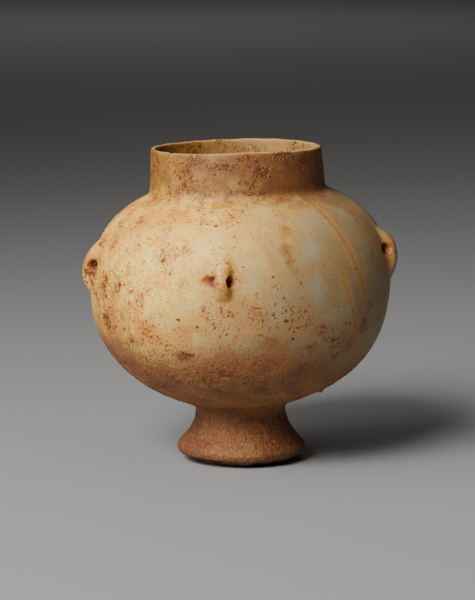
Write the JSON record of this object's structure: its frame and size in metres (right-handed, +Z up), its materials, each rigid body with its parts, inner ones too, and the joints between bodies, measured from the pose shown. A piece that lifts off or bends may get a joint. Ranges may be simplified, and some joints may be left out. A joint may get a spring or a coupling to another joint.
{
  "type": "marble footed jar",
  "caption": "Carved marble jar: round hollow body with a straight collar, on a small flared foot, with pierced string lugs round the shoulder.",
  "frame": {"origin": "centre of the foot's flat underside, on the ground", "axes": "+Z up, +X to the right and +Y away from a viewer who faces the front lug, which points along -Y"},
  "size_m": [0.1578, 0.1595, 0.1605],
  "materials": {
    "marble": "worn hand-rubbed marble with brown burial patina"
  },
  "bodies": {
    "root": {"vase": "marble"}
  },
  "joints": []
}
